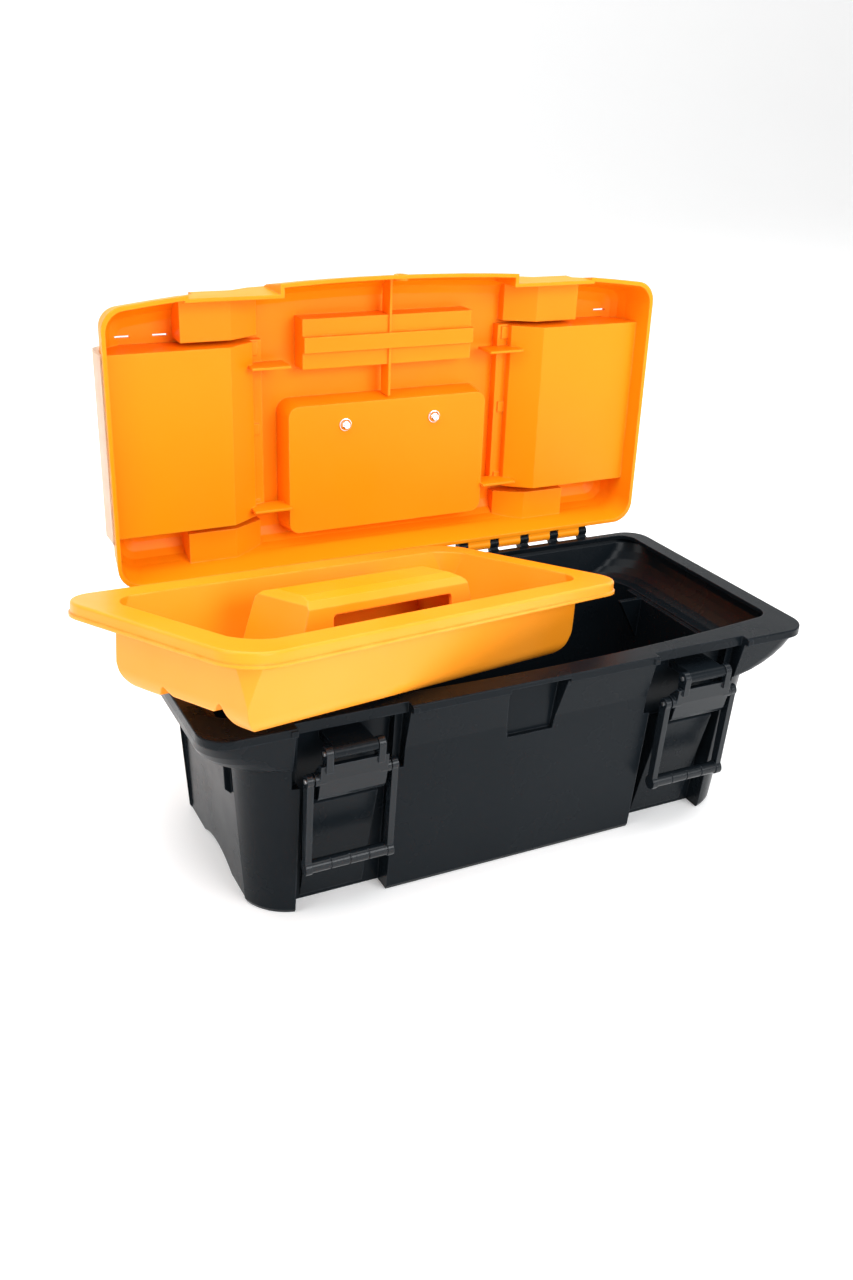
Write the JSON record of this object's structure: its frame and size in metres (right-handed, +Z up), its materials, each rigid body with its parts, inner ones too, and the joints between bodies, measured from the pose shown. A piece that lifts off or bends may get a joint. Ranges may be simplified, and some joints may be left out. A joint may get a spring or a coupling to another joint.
{
  "type": "toolbox with tray",
  "caption": "Plastic toolbox standing open, with a hinged lid, folding carry handle, lidded organisers, two draw latches and a lift-out tray laid across the rim.",
  "frame": {"origin": "on the ground plane, under the middle of the base", "axes": "+X along the length to the right, -Y towards the front with the latches, +Z up; the lid is stored open at 90 degrees"},
  "size_m": [0.4832, 0.3132, 0.354],
  "materials": {
    "black_plastic": "satin moulded polypropylene",
    "orange_plastic": "satin moulded polypropylene",
    "tray_plastic": "satin moulded polypropylene",
    "handle_plastic": "satin with fine grain",
    "latch_plastic": "satin",
    "cover_clear": "frosted translucent",
    "pin_steel": "plain steel wire",
    "screw_chrome": "bright plated"
  },
  "bodies": {
    "base": {"base_tub": "black_plastic", "hinge_pin_left": "pin_steel", "hinge_pin_right": "pin_steel", "latch_pin_left": "pin_steel", "latch_pin_right": "pin_steel"},
    "lid": {"lid_shell": "orange_plastic", "handle_bracket": "handle_plastic", "handle_screws": "screw_chrome", "handle_pin_left": "pin_steel", "handle_pin_right": "pin_steel", "organiser_pin_left": "pin_steel", "organiser_pin_right": "pin_steel"},
    "handle": {"carry_handle": "handle_plastic"},
    "cover_left": {"organiser_cover_left": "cover_clear"},
    "cover_right": {"organiser_cover_right": "cover_clear"},
    "lever_left": {"latch_lever_left": "latch_plastic", "latch_link_pin_left": "pin_steel"},
    "lever_right": {"latch_lever_right": "latch_plastic", "latch_link_pin_right": "pin_steel"},
    "bail_left": {"latch_bail_left": "latch_plastic"},
    "bail_right": {"latch_bail_right": "latch_plastic"},
    "loose_tray": {"tray": "tray_plastic"}
  },
  "joints": [
    {"name": "lid_hinge", "type": "hinge", "parent": "base", "child": "lid", "pos_m": [0, 0.11, 0.147], "axis": [1, 0, 0], "range_deg": [0, 90]},
    {"name": "carry_handle_fold", "type": "hinge", "parent": "lid", "child": "handle", "pos_m": [0, 0.1391, 0.248], "axis": [1, 0, 0], "range_deg": [0, 90]},
    {"name": "organiser_left", "type": "hinge", "parent": "lid", "child": "cover_left", "pos_m": [-0.099, 0.1442, 0.248], "axis": [0, 0, -1], "range_deg": [0, 95]},
    {"name": "organiser_right", "type": "hinge", "parent": "lid", "child": "cover_right", "pos_m": [0.099, 0.1442, 0.248], "axis": [0, 0, 1], "range_deg": [0, 95]},
    {"name": "lever_left_swing", "type": "hinge", "parent": "base", "child": "lever_left", "pos_m": [-0.1265, -0.106, 0.124], "axis": [-1, 0, 0], "range_deg": [0, 75]},
    {"name": "lever_right_swing", "type": "hinge", "parent": "base", "child": "lever_right", "pos_m": [0.1265, -0.106, 0.124], "axis": [-1, 0, 0], "range_deg": [0, 75]},
    {"name": "bail_left_swing", "type": "hinge", "parent": "lever_left", "child": "bail_left", "pos_m": [-0.1265, -0.1025, 0.106], "axis": [-1, 0, 0], "range_deg": [0, 80]},
    {"name": "bail_right_swing", "type": "hinge", "parent": "lever_right", "child": "bail_right", "pos_m": [0.1265, -0.1025, 0.106], "axis": [-1, 0, 0], "range_deg": [0, 80]},
    {"name": "tray_lift_out", "type": "slide", "parent": "base", "child": "loose_tray", "axis": [0, -0.9272, 0.3746], "range_m": [0, 0.321]}
  ],
  "couplings": [
    {"joint": "tray_lift_out", "follows": "lid_hinge", "m_per_rad": 0.204}
  ]
}
